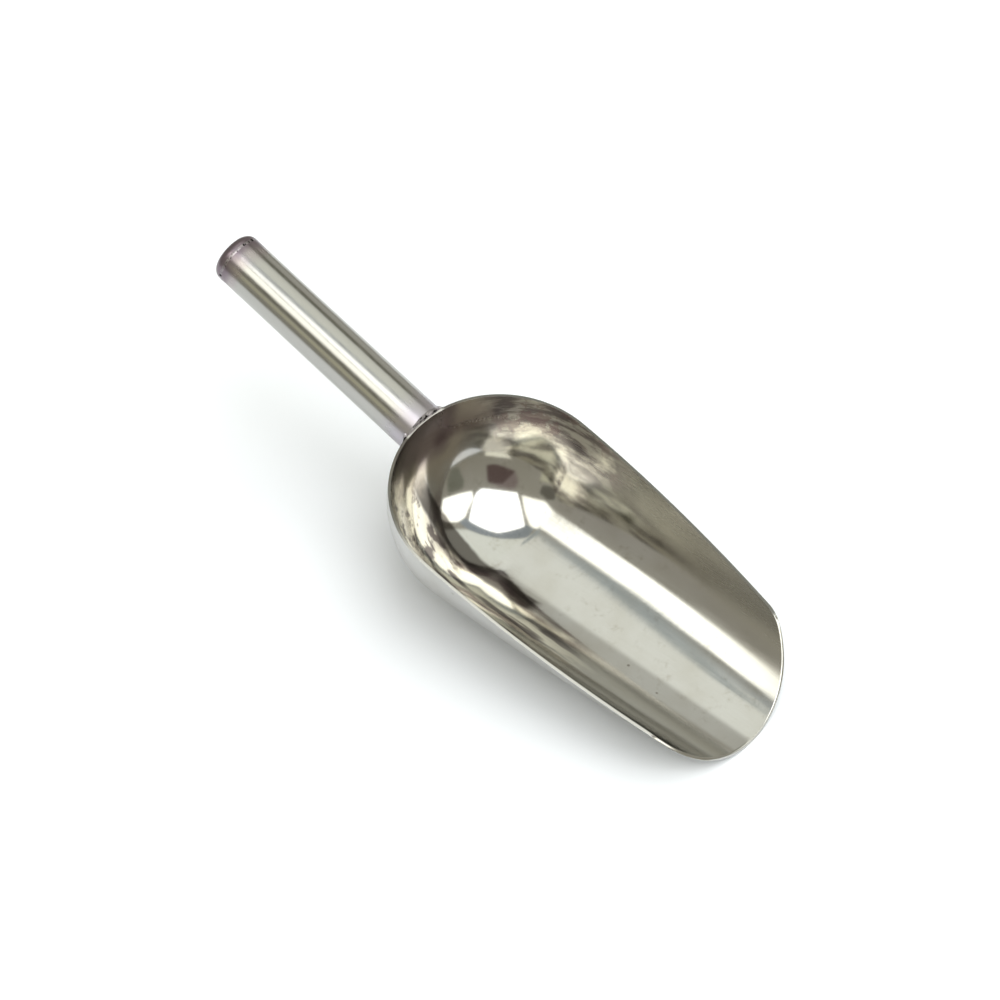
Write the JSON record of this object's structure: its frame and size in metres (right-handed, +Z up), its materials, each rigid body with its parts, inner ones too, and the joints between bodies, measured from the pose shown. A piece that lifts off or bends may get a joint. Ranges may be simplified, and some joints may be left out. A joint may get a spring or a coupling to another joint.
{
  "type": "ice scoop",
  "caption": "Round-bottomed stainless ice scoop: a pressed bowl with an inclined rim and bowed lip, and a straight tube handle with a domed closed end.",
  "frame": {"origin": "under the middle of the bounding box, on the level the scoop stands on (Z = 0)", "axes": "+X from the handle towards the lip, +Y across the bowl, +Z up, with the trough's bottom line on Z = 0"},
  "size_m": [0.2438, 0.084, 0.0824],
  "materials": {
    "bowl_steel": "polished inside and out, with fine rubbing marks and a few small pits",
    "handle_steel": "satin drawn tube, tinted violet-grey by welding heat at both ends",
    "cap_steel": "satin, heat-tinted violet and straw",
    "weld_metal": "ground weld, pitted and grey-violet"
  },
  "bodies": {
    "root": {"scoop_bowl": "bowl_steel", "handle_tube": "handle_steel", "handle_end_cap": "cap_steel", "handle_weld_bead": "weld_metal", "handle_weld_fill": "weld_metal", "end_cap_weld": "weld_metal"}
  },
  "joints": []
}
